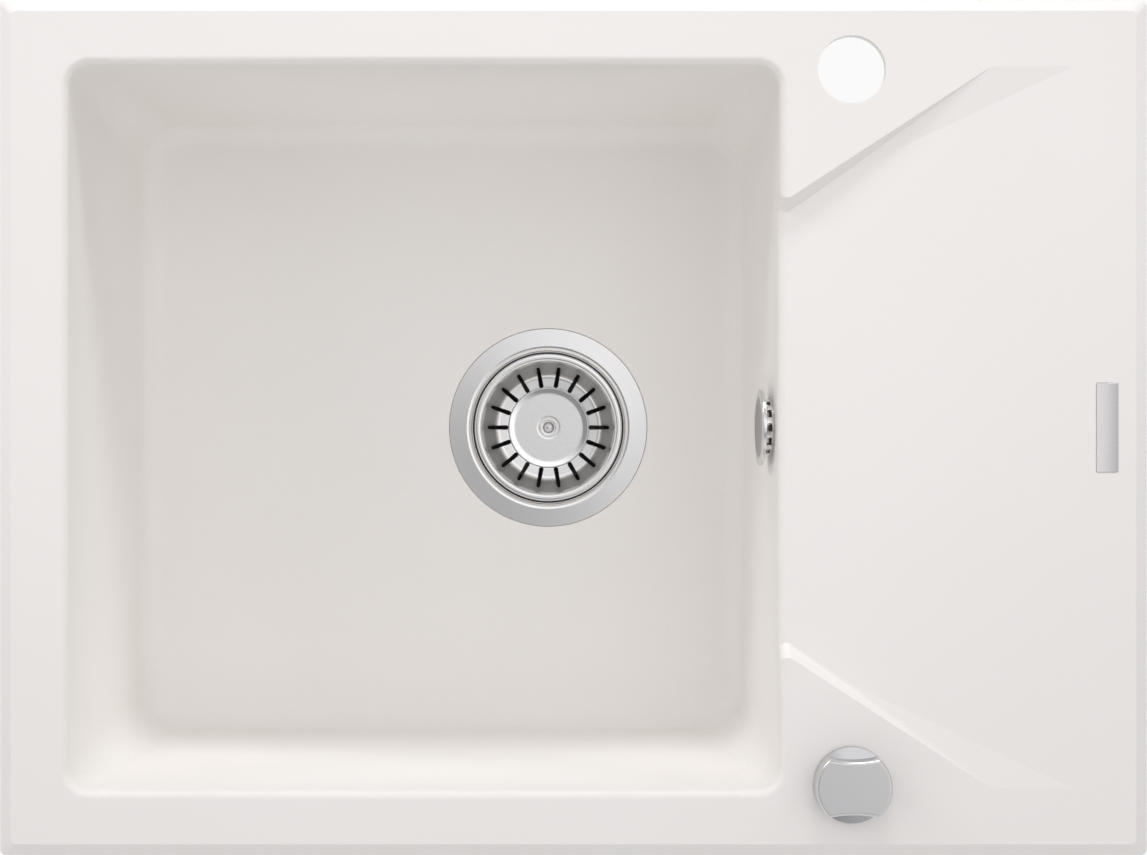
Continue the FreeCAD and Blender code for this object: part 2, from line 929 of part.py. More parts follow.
# Outlet tail welded under the body, with a boss for the rocker's axle on its side
outlet_tail = new_body("outlet_tail", drain_x, 0, floor_level)
thread_top = outlet_end - outlet_thread
collar_foot = tail_top + weld_collar_thick
spin(
    outlet_tail,
    [
        (outlet_bore, -outlet_end),
        (outlet_radius, -outlet_end),
        (outlet_radius, -thread_top),
        (outlet_neck, -thread_top),
        (outlet_neck, -collar_foot),
        (weld_collar, -collar_foot),
        (weld_collar, -tail_top),
        (outlet_bore, -tail_top),
    ],
)
axle_bore = axle_radius + slip_gap
boss_sketch = new_sketch(outlet_tail, "XZ_Plane", boss_start)
boss = circle(boss_sketch, axle_offset, -axle_drop, boss_radius)
pad(outlet_tail, boss, boss_end - boss_start)
axle_hole = circle(new_sketch(outlet_tail, "XZ_Plane", boss_end), axle_offset, -axle_drop, axle_bore)
cut(outlet_tail, axle_hole, boss_end)

# Lift pin: the rocker's fingertip stands under its foot
half_swing = rocker_swing_angle / 2
tip_fall = Size(
    axle_offset.value * math.sin(math.radians(half_swing.value)),
    "(%s * sin(%s * 1deg))" % (axle_offset.text, half_swing.text),
)
pin_bottom = axle_drop + tip_fall - finger_tip - running_gap
pin_top = socket_top + socket_web + running_gap
lift_pin = new_body("lift_pin", drain_x, 0, floor_level)
spin(
    lift_pin,
    [
        (0, -pin_bottom),
        (pin_nose, -pin_bottom),
        (pin_foot, -pin_bottom + pin_foot_rise),
        (pin_foot, -pin_bottom + pin_foot_rise + pin_foot_thick),
        (pin_radius, -pin_bottom + pin_foot_rise + pin_foot_thick),
        (pin_radius, -pin_top),
        (0, -pin_top),
    ],
)

# Rocker: the axle with its finger, at rest turned down by half its swing
quarter_turn = Size(90.0, "90")
half_turn = Size(180.0, "180")
axle_x = drain_x + axle_offset
axle_z = floor_level - axle_drop
case_back = boss_end
wheel_start = case_back + case_wall + wheel_side_gap
rocker = new_body("lift_rocker", axle_x, 0, axle_z, (1, 0, 0), quarter_turn)
axle = circle(new_sketch(rocker, "XY_Plane", -axle_inner), 0, 0, axle_radius)
pad(rocker, axle, axle_inner + wheel_start + wheel_thick)
finger = outline(
    new_sketch(rocker, "XY_Plane", -finger_thick / 2, None, None, (0, 0, 1), half_swing),
    [
        (-axle_offset, finger_tip, finger_tip),
        (-axle_offset, -finger_tip),
        (0, -finger_tip),
        (0, finger_tip),
    ],
)
pad(rocker, finger, finger_thick)


def wheel(label, radius, bore, start, *place):
    """A grooved cable wheel on an axle or shaft."""
    body = new_body(label, *place)
    groove = radius - wheel_groove
    end = start + wheel_thick
    spin(
        body,
        [
            (bore, start),
            (radius, start),
            (radius, start + wheel_thick / 4),
            (groove, start + wheel_thick / 2),
            (radius, end - wheel_thick / 4),
            (radius, end),
            (bore, end),
        ],
    )
    return body


def ears(body, radius, start, length, hole, hole_length):
    """Three ears round a case or cover, each bored for a screw."""
    spot = radius + ear_offset
    ear = circle(new_sketch(body, "XY_Plane", start), 0, spot, cover_ear)
    ring(body, pad(body, ear, length), cover_screws)
    bore = circle(new_sketch(body, "XY_Plane", start + length), 0, spot, hole)
    ring(body, cut(body, bore, hole_length), cover_screws)


def case(label, radius, hole, gland_offset, start, *place):
    """A round cable housing, open at its far end, with a boss for the cable gland."""
    body = new_body(label, *place)
    middle = start + (case_depth + case_wall) / 2
    pad(body, circle(new_sketch(body, "XY_Plane", start), 0, 0, radius), case_depth)
    stem = circle(new_sketch(body, "XZ_Plane"), gland_offset, middle, gland_boss)
    pad(body, stem, radius + gland_reach, down=True)
    hollow = circle(new_sketch(body, "XY_Plane", start + case_depth), 0, 0, radius - case_wall)
    cut(body, hollow, case_depth - case_wall)
    cut(body, circle(new_sketch(body, "XY_Plane", start + case_depth), 0, 0, hole), case_depth)
    gland_way = circle(new_sketch(body, "XZ_Plane"), gland_offset, middle, gland_shank + slip_gap)
    cut(body, gland_way, radius + gland_reach + overrun)
    ears(body, radius, start, case_depth, cover_screw_radius + slip_gap, cover_screw_length)
    return body


def cover(label, radius, start, *place):
    """The flat cover of a cable housing."""
    body = new_body(label, *place)
    pad(body, circle(new_sketch(body, "XY_Plane", start), 0, 0, radius), case_cover_thick)
    ears(body, radius, start, case_cover_thick, cover_screw_radius + slip_gap, case_cover_thick + overrun)
    return body


def gland(label, *place):
    """A cable gland: shank, head and nose round the cable's bore."""
    body = new_body(label, *place)
    nose_end = gland_head_thick + gland_nose_length
    spin(
        body,
        [
            (gland_bore, -gland_shank_length),
            (gland_shank, -gland_shank_length),
            (gland_shank, 0),
            (gland_head, 0),
            (gland_head, gland_head_thick),
            (gland_nose, gland_head_thick),
            (gland_nose, nose_end),
            (gland_bore, nose_end),
        ],
    )
    return body


def turned_solid(points):
    """A solid spun about Z from an outline of radius and height."""
    corners = [FreeCAD.Vector(sized(r).value, 0, sized(z).value) for r, z in points]
    face = Part.Face(Part.makePolygon(corners + corners[:1]))
    return face.revolve(FreeCAD.Vector(0, 0, 0), FreeCAD.Vector(0, 0, 1), 360)


def group(label, shapes, placement):
    """Alike pieces kept together under one name."""
    feature = doc.addObject("Part::Feature", label)
    feature.Label = label
    feature.Shape = Part.makeCompound(shapes)
    feature.Placement = placement
    return feature


def case_screws(label, radius, start, placement):
    """The screws through a cover's ears."""
    under = start - cover_screw_length
    screw = [
        (0, under),
        (cover_screw_radius, under),
        (cover_screw_radius, start + case_cover_thick),
        (cover_screw_head, start + case_cover_thick),
        (cover_screw_head, start + case_cover_thick + cover_screw_head_thick),
        (0, start + case_cover_thick + cover_screw_head_thick),
    ]
    spot = FreeCAD.Vector(0, (radius + ear_offset).value, 0)
    shapes = []
    for number in range(cover_screws):
        solid = turned_solid(screw)
        solid.translate(spot)
        solid.rotate(FreeCAD.Vector(0, 0, 0), FreeCAD.Vector(0, 0, 1), 360 * number / cover_screws)
        shapes.append(solid)
    return group(label, shapes, placement)


# Cable end at the waste
at_axle = (axle_x, 0, axle_z, (1, 0, 0), quarter_turn)
pulley_track = pulley_radius - wheel_groove
case_end = case_back + case_depth
case_middle = case_back + (case_depth + case_wall) / 2
wheel("rocker_pulley", pulley_radius, axle_radius, wheel_start, *at_axle)
case("pulley_housing", pulley_case_radius, axle_bore, pulley_track, case_back, *at_axle)
pulley_cover = cover("pulley_cover", pulley_case_radius, case_end, *at_axle)
case_screws("pulley_cover_screws", pulley_case_radius, case_end, pulley_cover.Placement)
gland_height = axle_z + pulley_case_radius + gland_reach
gland("pulley_gland", axle_x + pulley_track, -case_middle, gland_height)

# Knob, heights from the deck's top
at_knob = (knob_x, knob_y, deck_thick)
knob = new_body("control_knob", *at_knob)
hollow_top = knob_lift + knob_hollow
hollow_radius = knob_radius - knob_skirt
spin(
    knob,
    [
        (0, hollow_top),
        (hollow_radius, hollow_top),
        (hollow_radius, knob_lift),
        (knob_radius, knob_lift),
        (knob_radius, knob_ledge),
        (0, knob_ledge + ledge_rise),
    ],
)
grip_reach = root(knob_radius * knob_radius - grip_end_half * grip_end_half)
grip = outline(
    new_sketch(knob, "XY_Plane", knob_ledge),
    [
        (grip_reach, -grip_end_half, knob_radius),
        (grip_reach, grip_end_half, grip_hollow, -1),
        (-grip_reach, grip_end_half, knob_radius),
        (-grip_reach, -grip_end_half, grip_hollow, -1),
    ],
)
pad(knob, grip, knob_height - knob_ledge)
round_edges(knob, knob_edge, at_height(knob_height))
shaft_hole = circle(new_sketch(knob, "XY_Plane", hollow_top), 0, 0, shaft_radius)
cut(knob, shaft_hole, shaft_top - hollow_top, forward=True)

drum_start = bush_length + case_wall + wheel_side_gap
shaft = new_body("knob_shaft", *at_knob)
shaft_end = drum_start + wheel_thick
shaft_foot = circle(new_sketch(shaft, "XY_Plane", -shaft_end), 0, 0, shaft_radius)
pad(shaft, shaft_foot, shaft_top + shaft_end)

# Bush, seal, washer and back nut that hold the knob in the deck
knob_gasket = new_body("knob_gasket", *at_knob)
spin(
    knob_gasket,
    [
        (knob_hole, 0),
        (bush_flange, 0),
        (bush_flange, bush_seal_thick),
        (knob_hole, bush_seal_thick),
    ],
)
shaft_bore = shaft_radius + slip_gap
knob_bush = new_body("knob_bush", *at_knob)
spin(
    knob_bush,
    [
        (shaft_bore, -bush_length),
        (bush_radius, -bush_length),
        (bush_radius, bush_seal_thick),
        (bush_flange, bush_seal_thick),
        (bush_flange, bush_seal_thick + bush_flange_thick),
        (shaft_bore, bush_seal_thick + bush_flange_thick),
    ],
)
deck_under = deck_thick - deck_recess
bush_bore = bush_radius + slip_gap
knob_washer = new_body("knob_washer", *at_knob)
spin(
    knob_washer,
    [
        (bush_bore, -deck_under - washer_thick),
        (washer_radius, -deck_under - washer_thick),
        (washer_radius, -deck_under),
        (bush_bore, -deck_under),
    ],
)
knob_nut = new_body("knob_nut", *at_knob)
nut_corner = nut_across / root(sized(3))
nut_flat = nut_across / 2
nut = outline(
    new_sketch(knob_nut, "XY_Plane", -deck_under - washer_thick),
    [
        (nut_corner, 0),
        (nut_corner / 2, nut_flat),
        (-nut_corner / 2, nut_flat),
        (-nut_corner, 0),
        (-nut_corner / 2, -nut_flat),
        (nut_corner / 2, -nut_flat),
    ],
)
circle(nut, 0, 0, bush_bore)
pad(knob_nut, nut, nut_thick, down=True)

# Cable end at the knob, hung upside down under the bush
under_bush = (knob_x, knob_y, deck_thick - bush_length, (0, 1, 0), half_turn)
drum_track = drum_radius - wheel_groove
drum_wheel = case_wall + wheel_side_gap
case_mid = (case_depth + case_wall) / 2
wheel("knob_drum", drum_radius, shaft_radius, drum_wheel, *under_bush)
case("drum_housing", drum_case_radius, shaft_bore, drum_track, no_length, *under_bush)
drum_cover = cover("drum_cover", drum_case_radius, case_depth, *under_bush)
case_screws("drum_cover_screws", drum_case_radius, case_depth, drum_cover.Placement)
gland(
    "drum_gland",
    knob_x - drum_track,
    knob_y + drum_case_radius + gland_reach,
    deck_thick - bush_length - case_mid,
    (-1, 0, 0),
    quarter_turn,
)

# Overflow, heights from the wall's inner face along its square
face_turn = quarter_turn - wall_lean
at_overflow = (overflow_x, 0, overflow_z, (0, -1, 0), face_turn)
cap = new_body("overflow_cap", *at_overflow)
cap_front = collar_length + cap_thick
cap_round = (cap_dish * cap_dish / cap_dish_depth + cap_dish_depth) / 2
spin(
    cap,
    [
        (0, -stud_length),
        (stud_radius, -stud_length),
        (stud_radius, collar_length),
        (cap_radius, collar_length),
        (cap_radius, cap_front - cap_edge, cap_edge),
        (cap_radius - cap_edge, cap_front),
        (cap_dish, cap_front, cap_round, -1),
        (0, cap_front - cap_dish_depth),
    ],
)
stud_hole = stud_radius + slip_gap


def spider(body, height, thick, reach):
    """A bar with a hub across a bore, bored for the cap's stud."""
    bar = outline(
        new_sketch(body, "XY_Plane", height),
        [
            (-collar_spoke / 2, -reach),
            (collar_spoke / 2, -reach),
            (collar_spoke / 2, reach),
            (-collar_spoke / 2, reach),
        ],
    )
    pad(body, bar, thick)
    pad(body, circle(new_sketch(body, "XY_Plane", height), 0, 0, spider_hub), thick)
    cut(body, circle(new_sketch(body, "XY_Plane", height + thick), 0, 0, stud_hole), thick + overrun)


collar = new_body("overflow_collar", *at_overflow)
collar_bore = collar_radius - collar_wall
spin(
    collar,
    [
        (collar_bore, 0),
        (collar_radius, 0),
        (collar_radius, collar_length),
        (collar_bore, collar_length),
    ],
)
window = outline(
    new_sketch(collar, "YZ_Plane", collar_bore - overrun),
    [
        (-collar_slot / 2, collar_band),
        (collar_slot / 2, collar_band),
        (collar_slot / 2, collar_length - collar_band),
        (-collar_slot / 2, collar_length - collar_band),
    ],
)
ring(collar, cut(collar, window, collar_wall + overrun * 2, forward=True), collar_slots)
spider(collar, no_length, collar_spider, collar_radius - collar_wall / 2)

wall_square = wall_thick * lean_cos
gasket_back = wall_square + elbow_gasket_thick
overflow_gasket = new_body("overflow_gasket", *at_overflow)
spin(
    overflow_gasket,
    [
        (elbow_spigot + slip_gap, -gasket_back),
        (elbow_flange, -gasket_back),
        (elbow_flange, -wall_square),
        (elbow_spigot + slip_gap, -wall_square),
    ],
)
elbow = new_body("overflow_elbow", *at_overflow)
flange_back = gasket_back + elbow_flange_thick
elbow_end = flange_back + elbow_length
spin(
    elbow,
    [
        (0, -elbow_end),
        (elbow_radius, -elbow_end),
        (elbow_radius, -flange_back),
        (elbow_flange, -flange_back),
        (elbow_flange, -gasket_back),
        (elbow_spigot, -gasket_back),
        (elbow_spigot, -elbow_set),
        (elbow_bore, -elbow_set),
        (elbow_bore, -elbow_end + elbow_back),
        (0, -elbow_end + elbow_back),
    ],
)
spout = flange_back + elbow_length / 2
spider(elbow, -elbow_set - elbow_spider, elbow_spider, (elbow_bore + elbow_spigot) / 2)
down_pipe = circle(new_sketch(elbow, "YZ_Plane", -elbow_bore), 0, -spout, socket_outer)
pad(elbow, down_pipe, socket_reach - elbow_bore, down=True)
down_way = circle(new_sketch(elbow, "YZ_Plane"), 0, -spout, pipe_bore)
cut(elbow, down_way, socket_reach + overrun)
down_socket = circle(new_sketch(elbow, "YZ_Plane", -socket_reach), 0, -spout, pipe_socket)
cut(elbow, down_socket, socket_deep, forward=True)

# Overflow pipe: down beside the wall, one bend, and along to the waste body
down = FreeCAD.Vector(-lean_sin.value, 0, -lean_cos.value)
back = FreeCAD.Vector(lean_cos.value, 0, -lean_sin.value)
along = FreeCAD.Vector(1, 0, 0)
wall_spot = FreeCAD.Vector(overflow_x.value, 0, overflow_z.value) + back * spout.value
pipe_start = wall_spot + down * (socket_reach - socket_deep).value
inlet_z = floor_level - inlet_drop
inlet_mouth = FreeCAD.Vector((drain_x + inlet_end).value, 0, inlet_z.value)
pipe_stop = inlet_mouth - along * socket_deep.value
corner = pipe_start + down * ((pipe_start.z - pipe_stop.z) / lean_cos.value)
turn_angle = math.acos(down.dot(along * -1))
tangent = pipe_bend.value * math.tan(turn_angle / 2)
bend_in = corner - down * tangent
bend_out = corner - along * tangent
middle_way = (bend_in + bend_out) / 2 - corner
bend_centre = corner + middle_way.normalize() * (pipe_bend.value / math.cos(turn_angle / 2))
bend_mid = bend_centre + (corner - bend_centre).normalize() * pipe_bend.value
pipe_path = Part.Wire(
    [
        Part.LineSegment(pipe_start, bend_in).toShape(),
        Part.Arc(bend_in, bend_mid, bend_out).toShape(),
        Part.LineSegment(bend_out, pipe_stop).toShape(),
    ]
)


def swept(radius):
    """A round bar along the pipe's path."""
    rim_circle = Part.Circle(pipe_start, down, radius.value)
    return pipe_path.makePipeShell([Part.Wire([rim_circle.toShape()])], True, True)


pipe_solid = swept(pipe_radius).cut(swept(pipe_bore))
overflow_pipe = group("overflow_pipe", pipe_solid.Solids, FreeCAD.Placement())

# Ring nuts over the two sockets
nut_outline = [
    (socket_outer + slip_gap, -ring_nut_length),
    (ring_nut_radius, -ring_nut_length),
    (ring_nut_radius, ring_nut_lip),
    (pipe_socket, ring_nut_lip),
    (pipe_socket, 0),
    (socket_outer + slip_gap, 0),
]
socket_mouth = wall_spot + down * socket_reach.value
upright = FreeCAD.Vector(0, 0, 1)
flute_x = (ring_nut_radius + flute_radius - flute_depth).value
flute_foot = FreeCAD.Vector(flute_x, 0, (-ring_nut_length - overrun).value)
flute_length = (ring_nut_length + ring_nut_lip + overrun * 2).value
ring_nuts = []
for spot, way in ((socket_mouth, down), (inlet_mouth, along)):
    ring_nut = turned_solid(nut_outline)
    for number in range(nut_flutes):
        flute = Part.makeCylinder(flute_radius.value, flute_length, flute_foot)
        flute.rotate(FreeCAD.Vector(0, 0, 0), upright, 360 * number / nut_flutes)
        ring_nut = ring_nut.cut(flute).Solids[0]
    ring_nut.Placement = FreeCAD.Placement(spot, FreeCAD.Rotation(upright, way))
    ring_nuts.append(ring_nut)
group("overflow_nuts", ring_nuts, FreeCAD.Placement())

# Every piece is checked before any is written
doc.recompute()
for item in doc.Objects:
    if "Invalid" in item.State or "Error" in item.State:
        raise ValueError("%s failed" % item.Label)
nodes = [item for item in doc.Objects if item.TypeId in ("PartDesign::Body", "Part::Feature")]
for node in nodes:
    if node.Shape.isNull() or not node.Shape.isValid():
        raise ValueError("%s has no sound shape" % node.Label)
for node in nodes:
    node.Shape.exportStep("parts/%s.step" % node.Label)
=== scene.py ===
import bpy
import mathutils
import numpy as np
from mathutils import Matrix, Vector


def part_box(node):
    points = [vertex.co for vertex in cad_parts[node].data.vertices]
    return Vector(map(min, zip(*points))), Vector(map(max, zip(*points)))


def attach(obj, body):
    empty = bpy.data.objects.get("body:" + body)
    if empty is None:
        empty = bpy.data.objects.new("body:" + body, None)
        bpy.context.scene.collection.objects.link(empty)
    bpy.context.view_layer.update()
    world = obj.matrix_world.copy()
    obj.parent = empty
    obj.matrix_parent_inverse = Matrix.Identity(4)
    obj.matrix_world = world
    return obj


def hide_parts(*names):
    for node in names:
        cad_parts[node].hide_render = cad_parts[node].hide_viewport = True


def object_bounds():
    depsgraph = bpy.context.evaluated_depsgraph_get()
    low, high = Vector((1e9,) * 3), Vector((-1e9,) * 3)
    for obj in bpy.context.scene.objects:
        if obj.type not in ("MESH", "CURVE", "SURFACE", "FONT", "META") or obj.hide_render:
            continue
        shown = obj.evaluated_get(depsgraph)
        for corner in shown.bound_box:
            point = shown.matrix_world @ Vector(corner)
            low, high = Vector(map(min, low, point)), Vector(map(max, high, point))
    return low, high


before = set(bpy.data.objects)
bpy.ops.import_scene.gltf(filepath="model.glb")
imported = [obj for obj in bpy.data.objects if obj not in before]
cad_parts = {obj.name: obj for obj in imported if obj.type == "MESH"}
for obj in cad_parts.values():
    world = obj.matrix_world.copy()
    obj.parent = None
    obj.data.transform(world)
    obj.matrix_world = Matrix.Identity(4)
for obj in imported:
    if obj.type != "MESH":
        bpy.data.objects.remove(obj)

cad_box = [list(corner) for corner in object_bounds()]

# Studio floor: matt white paper under the sink, a few millimetres below the waste's outlet.
# It shows as plain white to the camera and in the metal, and keeps the sink's soft shadow.


class Wire:
    """One socket of a node tree. Arithmetic on wires adds Math nodes."""

    def __init__(self, tree, socket=None):
        self.tree = tree
        self.socket = socket

    def add(self, kind, settings=None, sockets=None, out=0):
        """Any node: its settings are set first, then its sockets get values or links."""
        node = self.tree.nodes.new(kind)
        for name, value in (settings or {}).items():
            if name == "stops":
                ramp = node.color_ramp.elements
                for number, (place, colour) in enumerate(value):
                    stop = ramp[number] if number < len(ramp) else ramp.new(place)
                    stop.position = place
                    stop.color = (*colour, 1)
            else:
                setattr(node, name, value)
        for key, value in (sockets or {}).items():
            if isinstance(value, Wire):
                self.tree.links.new(value.socket, node.inputs[key])
            else:
                node.inputs[key].default_value = value
        return Wire(self.tree, node.outputs[out] if len(node.outputs) else None)

    def side(self, out):
        """Another output of the same node."""
        return Wire(self.tree, self.socket.node.outputs[out])

    def math(self, operation, first, second=0.0):
        """One Math node."""
        return self.add("ShaderNodeMath", {"operation": operation}, {0: first, 1: second})

    def __add__(self, other):
        return self.math("ADD", self, other)

    __radd__ = __add__

    def __sub__(self, other):
        return self.math("SUBTRACT", self, other)

    def __rsub__(self, other):
        return self.math("SUBTRACT", other, self)

    def __mul__(self, other):
        return self.math("MULTIPLY", self, other)

    __rmul__ = __mul__


def blank_finish(name):
    """A new material with an empty node tree."""
    material = bpy.data.materials.new(name)
    material.use_nodes = True
    material.node_tree.nodes.clear()
    return material, Wire(material.node_tree)


floor_drop = 0.004
floor_half = 6.0
floor_level = cad_box[0][2] - floor_drop
floor_white = 0.85
shadow_share = 0.1
corners = np.array([(-1, -1), (1, -1), (1, 1), (-1, 1)]) * floor_half
floor_mesh = bpy.data.meshes.new("studio_floor")
floor_mesh.from_pydata([(x, y, floor_level) for x, y in corners], [], [(0, 1, 2, 3)])
studio_floor = bpy.data.objects.new("studio_floor", floor_mesh)
bpy.context.collection.objects.link(studio_floor)

paper, start = blank_finish("floor_paper")
matt = start.add("ShaderNodeBsdfDiffuse", None, {"Color": (floor_white, floor_white, floor_white, 1)})
seen = start.add("ShaderNodeLightPath", None, None, "Is Camera Ray")
plain_white = start.add("ShaderNodeEmission", None, {"Strength": 1.0})
shown = seen + seen.side("Is Glossy Ray") + seen.side("Is Transmission Ray")
white_share = shown * (1 - shadow_share)
paper_look = start.add("ShaderNodeMixShader", None, {0: white_share, 1: matt, 2: plain_white})
start.add("ShaderNodeOutputMaterial", None, {"Surface": paper_look})
floor_mesh.materials.append(paper)

# Light: an even white room, dimmer at the horizon and a little brighter left and in front. Overhead it is
# brighter at the back right, which gives the steel its soft gradient. The horizon shows white to the camera
# and in the metal. Three low gridded lamps behind the sink wash the back deck and the bowl's front.


def ramped(start, value, low, high):
    """0 below low, 1 above high and a smooth rise between them."""
    return start.add("ShaderNodeMapRange", {"interpolation_type": "SMOOTHSTEP"},
                     {"Value": value, "From Min": low, "From Max": high})


horizon_level = 0.16
dome_rise = 0.625
dome_heights = (0.05, 0.55)
band_foot = (0.1, 0.3)
band_head = (0.6, 0.85)
left_gain = 0.10
front_gain = 0.10
front_reach = (-0.8, 0.1)
overhead_swing = 0.48
overhead_heights = (0.78, 0.92)
swing_reach = 0.17
diagonal = 0.707
backdrop_heights = (0.0, 0.25)
room_white = (1.0, 0.99, 1.005, 1)
world = bpy.data.worlds.new("studio")
bpy.context.scene.world = world
world.use_nodes = True
world.node_tree.nodes.clear()
sky = Wire(world.node_tree)
way = sky.add("ShaderNodeTexCoord", None, None, "Generated")
across = sky.add("ShaderNodeSeparateXYZ", None, {0: way})
along = across.side("Y")
above = across.side("Z")
lit_half = sky.add("ShaderNodeMapRange", None, {
    "Value": (across + along) * diagonal,
    "From Min": -swing_reach,
    "From Max": swing_reach,
    "To Min": -1.0,
    "To Max": 1.0,
})
overhead = ramped(sky, above, *overhead_heights)
middle_band = ramped(sky, above, *band_foot) - ramped(sky, above, *band_head)
left_wash = across * -left_gain * middle_band
front_wash = (1 - ramped(sky, along, *front_reach)) * front_gain * middle_band
dome_level = horizon_level + dome_rise * ramped(sky, above, *dome_heights)
room_level = dome_level + left_wash + front_wash + lit_half * overhead * overhead_swing
looked = sky.add("ShaderNodeLightPath", None, None, "Is Camera Ray")
mirrored = looked.side("Is Glossy Ray") + looked.side("Is Transmission Ray")
backdrop = looked + mirrored * (1 - ramped(sky, above, *backdrop_heights))
sky_level = room_level + backdrop * (1 - room_level)
glow = sky.add("ShaderNodeBackground", None, {"Color": room_white, "Strength": sky_level})
sky.add("ShaderNodeOutputWorld", None, {"Surface": glow})
bpy.context.scene.view_settings.view_transform = "Standard"

lamp_height = 0.16
lamp_spread = 0.42
lamp_white = (0.97, 0.98, 1.0)
# Name, place, point aimed at, width and watts of each lamp.
back_lamps = [
    ("back_lamp", (-0.08, 0.95, 0.28), (-0.08, 0.11, 0), 1.2, 0.28),
    ("right_lamp", (0.72, 0.72, 0.28), (-0.14, -0.02, 0), 0.5, 0.075),
    ("left_lamp", (-0.88, 0.72, 0.28), (-0.02, -0.02, 0), 0.5, 0.065),
]
for lamp_name, lamp_place, lamp_aim, lamp_width, lamp_watts in back_lamps:
    light = bpy.data.lights.new(lamp_name, "AREA")
    light.shape = "RECTANGLE"
    light.size, light.size_y = lamp_width, lamp_height
    light.energy = lamp_watts
    light.spread = lamp_spread
    light.color = lamp_white
    lamp = bpy.data.objects.new(lamp_name, light)
    bpy.context.collection.objects.link(lamp)
    beam = mathutils.Vector(lamp_aim) - mathutils.Vector(lamp_place)
    lamp.matrix_world = mathutils.Matrix.LocRotScale(lamp_place, beam.to_track_quat("-Z", "Y"), None)

# Camera: straight above the sink's middle, as the photograph was taken.
camera_height = 1.4665
lens = 89.04
eye = bpy.data.cameras.new("camera")
eye.sensor_width = 36
eye.lens = lens
camera = bpy.data.objects.new("camera", eye)
bpy.context.collection.objects.link(camera)
camera.location = (0, 0, camera_height)
bpy.context.scene.camera = camera

# Basin: one casting of granite composite, white quartz sand bound in acrylic resin.
# It leaves its mould matt, with a grain of under a millimetre and a faint cloudiness.


def dress(finish, *names):
    """Gives CAD nodes a finish in place of the plain one they were packed with."""
    for name in names:
        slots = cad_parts[name].data.materials
        slots.clear()
        slots.append(finish)


granite, start = blank_finish("white_granite")
place = start.add("ShaderNodeTexCoord", None, None, "Object")
grain = start.add("ShaderNodeTexNoise", None, {"Vector": place, "Scale": 1400.0, "Detail": 3.0})
cloud = start.add("ShaderNodeTexNoise", None, {"Vector": place, "Scale": 9.0, "Detail": 2.0})
stone_colour = start.add("ShaderNodeValToRGB", {"stops": [
    (0.25, (0.938, 0.912, 0.880)),
    (0.75, (0.972, 0.952, 0.922)),
]}, {0: grain * 0.7 + cloud * 0.3})
pits = start.add("ShaderNodeBump", None, {"Strength": 0.06, "Distance": 0.0003, "Height": grain})
stone = start.add("ShaderNodeBsdfPrincipled", None, {
    "Base Color": stone_colour,
    "Roughness": 0.42 + grain * 0.12,
    "IOR": 1.5,
    "Normal": pits,
})
start.add("ShaderNodeOutputMaterial", None, {"Surface": stone})


def welded(node):
    """A CAD node's corner points merged where they meet, and its triangles of merged points."""
    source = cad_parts[node].data
    spots = np.empty(len(source.vertices) * 3)
    source.vertices.foreach_get("co", spots)
    corners = np.empty(len(source.loops), dtype=np.int64)
    source.loops.foreach_get("vertex_index", corners)
    spots = spots.reshape(-1, 3)
    first, joined = np.unique(np.round(spots, 7), axis=0, return_index=True, return_inverse=True)[1:]
    triangles = joined.reshape(-1)[corners].reshape(-1, 3)
    whole = (triangles != np.roll(triangles, 1, axis=1)).all(axis=1)
    return spots[first], triangles[whole]


def creases(points, triangles, limit_at):
    """Keys of the edges that bend by more than limit_at(middle of the edge), in radians.

    An edge's key is its lower point times the number of points, plus its higher point.
    """
    first, second, third = points[triangles].swapaxes(0, 1)
    normals = np.cross(second - first, third - first)
    normals /= np.maximum(np.linalg.norm(normals, axis=1, keepdims=True), 1e-15)
    sides = [triangles[:, [0, 1]], triangles[:, [1, 2]], triangles[:, [2, 0]]]
    edges = np.sort(np.concatenate(sides), axis=1)
    keys = edges[:, 0] * len(points) + edges[:, 1]
    owners = np.tile(np.arange(len(triangles)), 3)
    order = np.argsort(keys, kind="stable")
    pair = np.flatnonzero(keys[order][:-1] == keys[order][1:])
    bend = (normals[owners[order[pair]]] * normals[owners[order[pair + 1]]]).sum(axis=1)
    middle = points[edges[order[pair]]].mean(axis=1)
    return np.sort(keys[order[pair]][bend < np.cos(limit_at(middle))])


drainer_ends = (0.1125, 0.262)
drainer_half = 0.187
drainer_foot = 0.002
bevel_start = (0.285, 0.210)
facet_bend, bevel_bend, fillet_bend = 5, 20, 35


def crease_limit(middle):
    """The drainer's facets and the rim's bevel stay crisp; elsewhere the fillets run smooth."""
    x, y, z = middle.T
    along_drainer = (x > drainer_ends[0]) & (x < drainer_ends[1])
    on_drainer = along_drainer & (np.abs(y) < drainer_half) & (z > drainer_foot)
    on_rim = (np.abs(x) > bevel_start[0]) | (np.abs(y) > bevel_start[1])
    return np.radians(np.where(on_drainer, facet_bend, np.where(on_rim, bevel_bend, fillet_bend)))


def shaded(name, points, faces, finish, limit_at):
    """A new piece of these faces, smooth but for the edges that bend by more than limit_at."""
    mesh = bpy.data.meshes.new(name)
    mesh.from_pydata(points, [], faces.tolist())
    mesh.polygons.foreach_set("use_smooth", np.ones(len(faces), dtype=bool))
    triangles = np.concatenate([faces[:, [0, at, at + 1]] for at in range(1, faces.shape[1] - 1)])
    ends = np.empty(len(mesh.edges) * 2, dtype=np.int64)
    mesh.edges.foreach_get("vertices", ends)
    ends = np.sort(ends.reshape(-1, 2), axis=1)
    sharp = np.isin(ends[:, 0] * len(points) + ends[:, 1], creases(points, triangles, limit_at))
    mesh.attributes.new("sharp_edge", "BOOLEAN", "EDGE").data.foreach_set("value", sharp)
    mesh.materials.append(finish)
    piece = bpy.data.objects.new(name, mesh)
    bpy.context.collection.objects.link(piece)
    return piece


